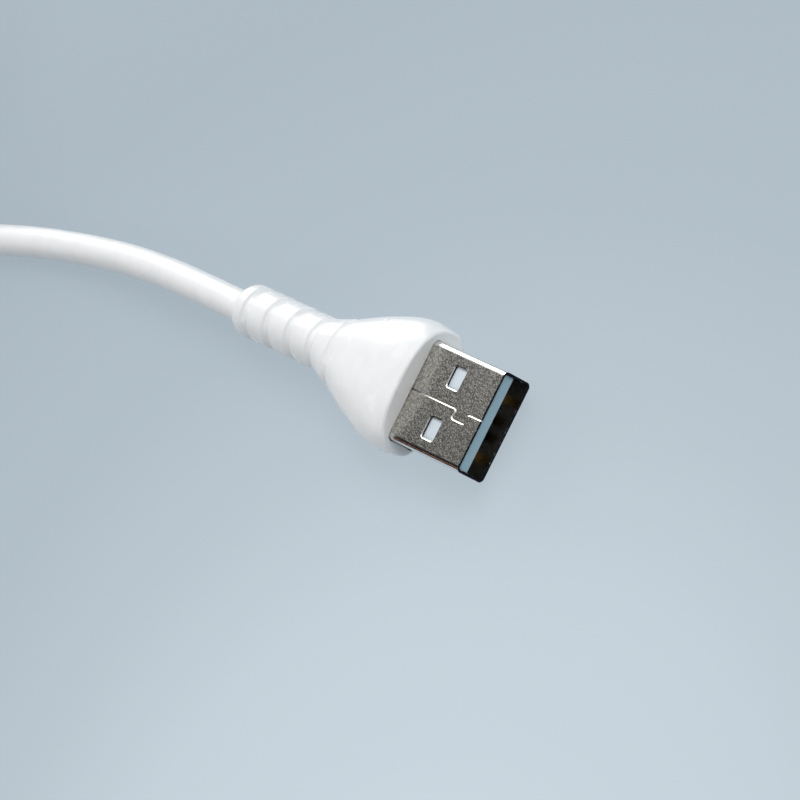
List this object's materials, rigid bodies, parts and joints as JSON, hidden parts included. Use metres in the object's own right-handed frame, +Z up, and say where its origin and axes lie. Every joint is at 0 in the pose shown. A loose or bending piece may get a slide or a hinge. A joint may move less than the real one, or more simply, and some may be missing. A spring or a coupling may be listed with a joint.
{
  "type": "charging cable",
  "caption": "Flat rectangular steel host plug with a ribbed white overmould on a round white cord, wound as a tied hank that carries a small flat-tab device plug.",
  "frame": {"origin": "on the surface the plug lies on, under the middle of the host plug with its overmould", "axes": "+X along the host plug towards its mouth, +Z up through the seam side of the shell, +Y to the side"},
  "size_m": [0.1906, 0.0344, 0.0177],
  "materials": {
    "mould_white": "soft satin moulding",
    "cord_white": "smooth satin jacket",
    "tie_grey": "woven hook-and-loop strap",
    "shell_steel": "fine grained nickel plate",
    "tab_steel": "satin plated",
    "tin_plate": "bright tin plate",
    "tongue_white": "plain moulding",
    "block_white": "plain moulding",
    "inner_mould": "milky first-shot moulding",
    "board_green": "lacquered laminate",
    "contact_gold": "gold plated",
    "wire_red": "plain insulation",
    "wire_white": "plain insulation",
    "wire_green": "plain insulation",
    "wire_black": "plain insulation"
  },
  "bodies": {
    "root": {"cord_hank": "cord_white", "cord_lead": "cord_white", "cord_tail": "cord_white", "device_board": "board_green", "device_can": "tin_plate", "device_contact_block": "block_white", "device_contacts_lower": "contact_gold", "device_contacts_upper": "contact_gold", "device_overmould": "mould_white", "device_potting": "inner_mould", "device_tab": "tab_steel", "device_wire_black": "wire_black", "device_wire_green": "wire_green", "device_wire_red": "wire_red", "device_wire_white": "wire_white", "hank_tie": "tie_grey", "host_contact_data_minus": "contact_gold", "host_contact_data_plus": "contact_gold", "host_contact_ground": "contact_gold", "host_contact_power": "contact_gold", "host_inner_mould": "inner_mould", "host_overmould": "mould_white", "host_shell": "shell_steel", "host_tongue": "tongue_white", "host_wire_black": "wire_black", "host_wire_green": "wire_green", "host_wire_red": "wire_red", "host_wire_white": "wire_white"}
  },
  "joints": []
}
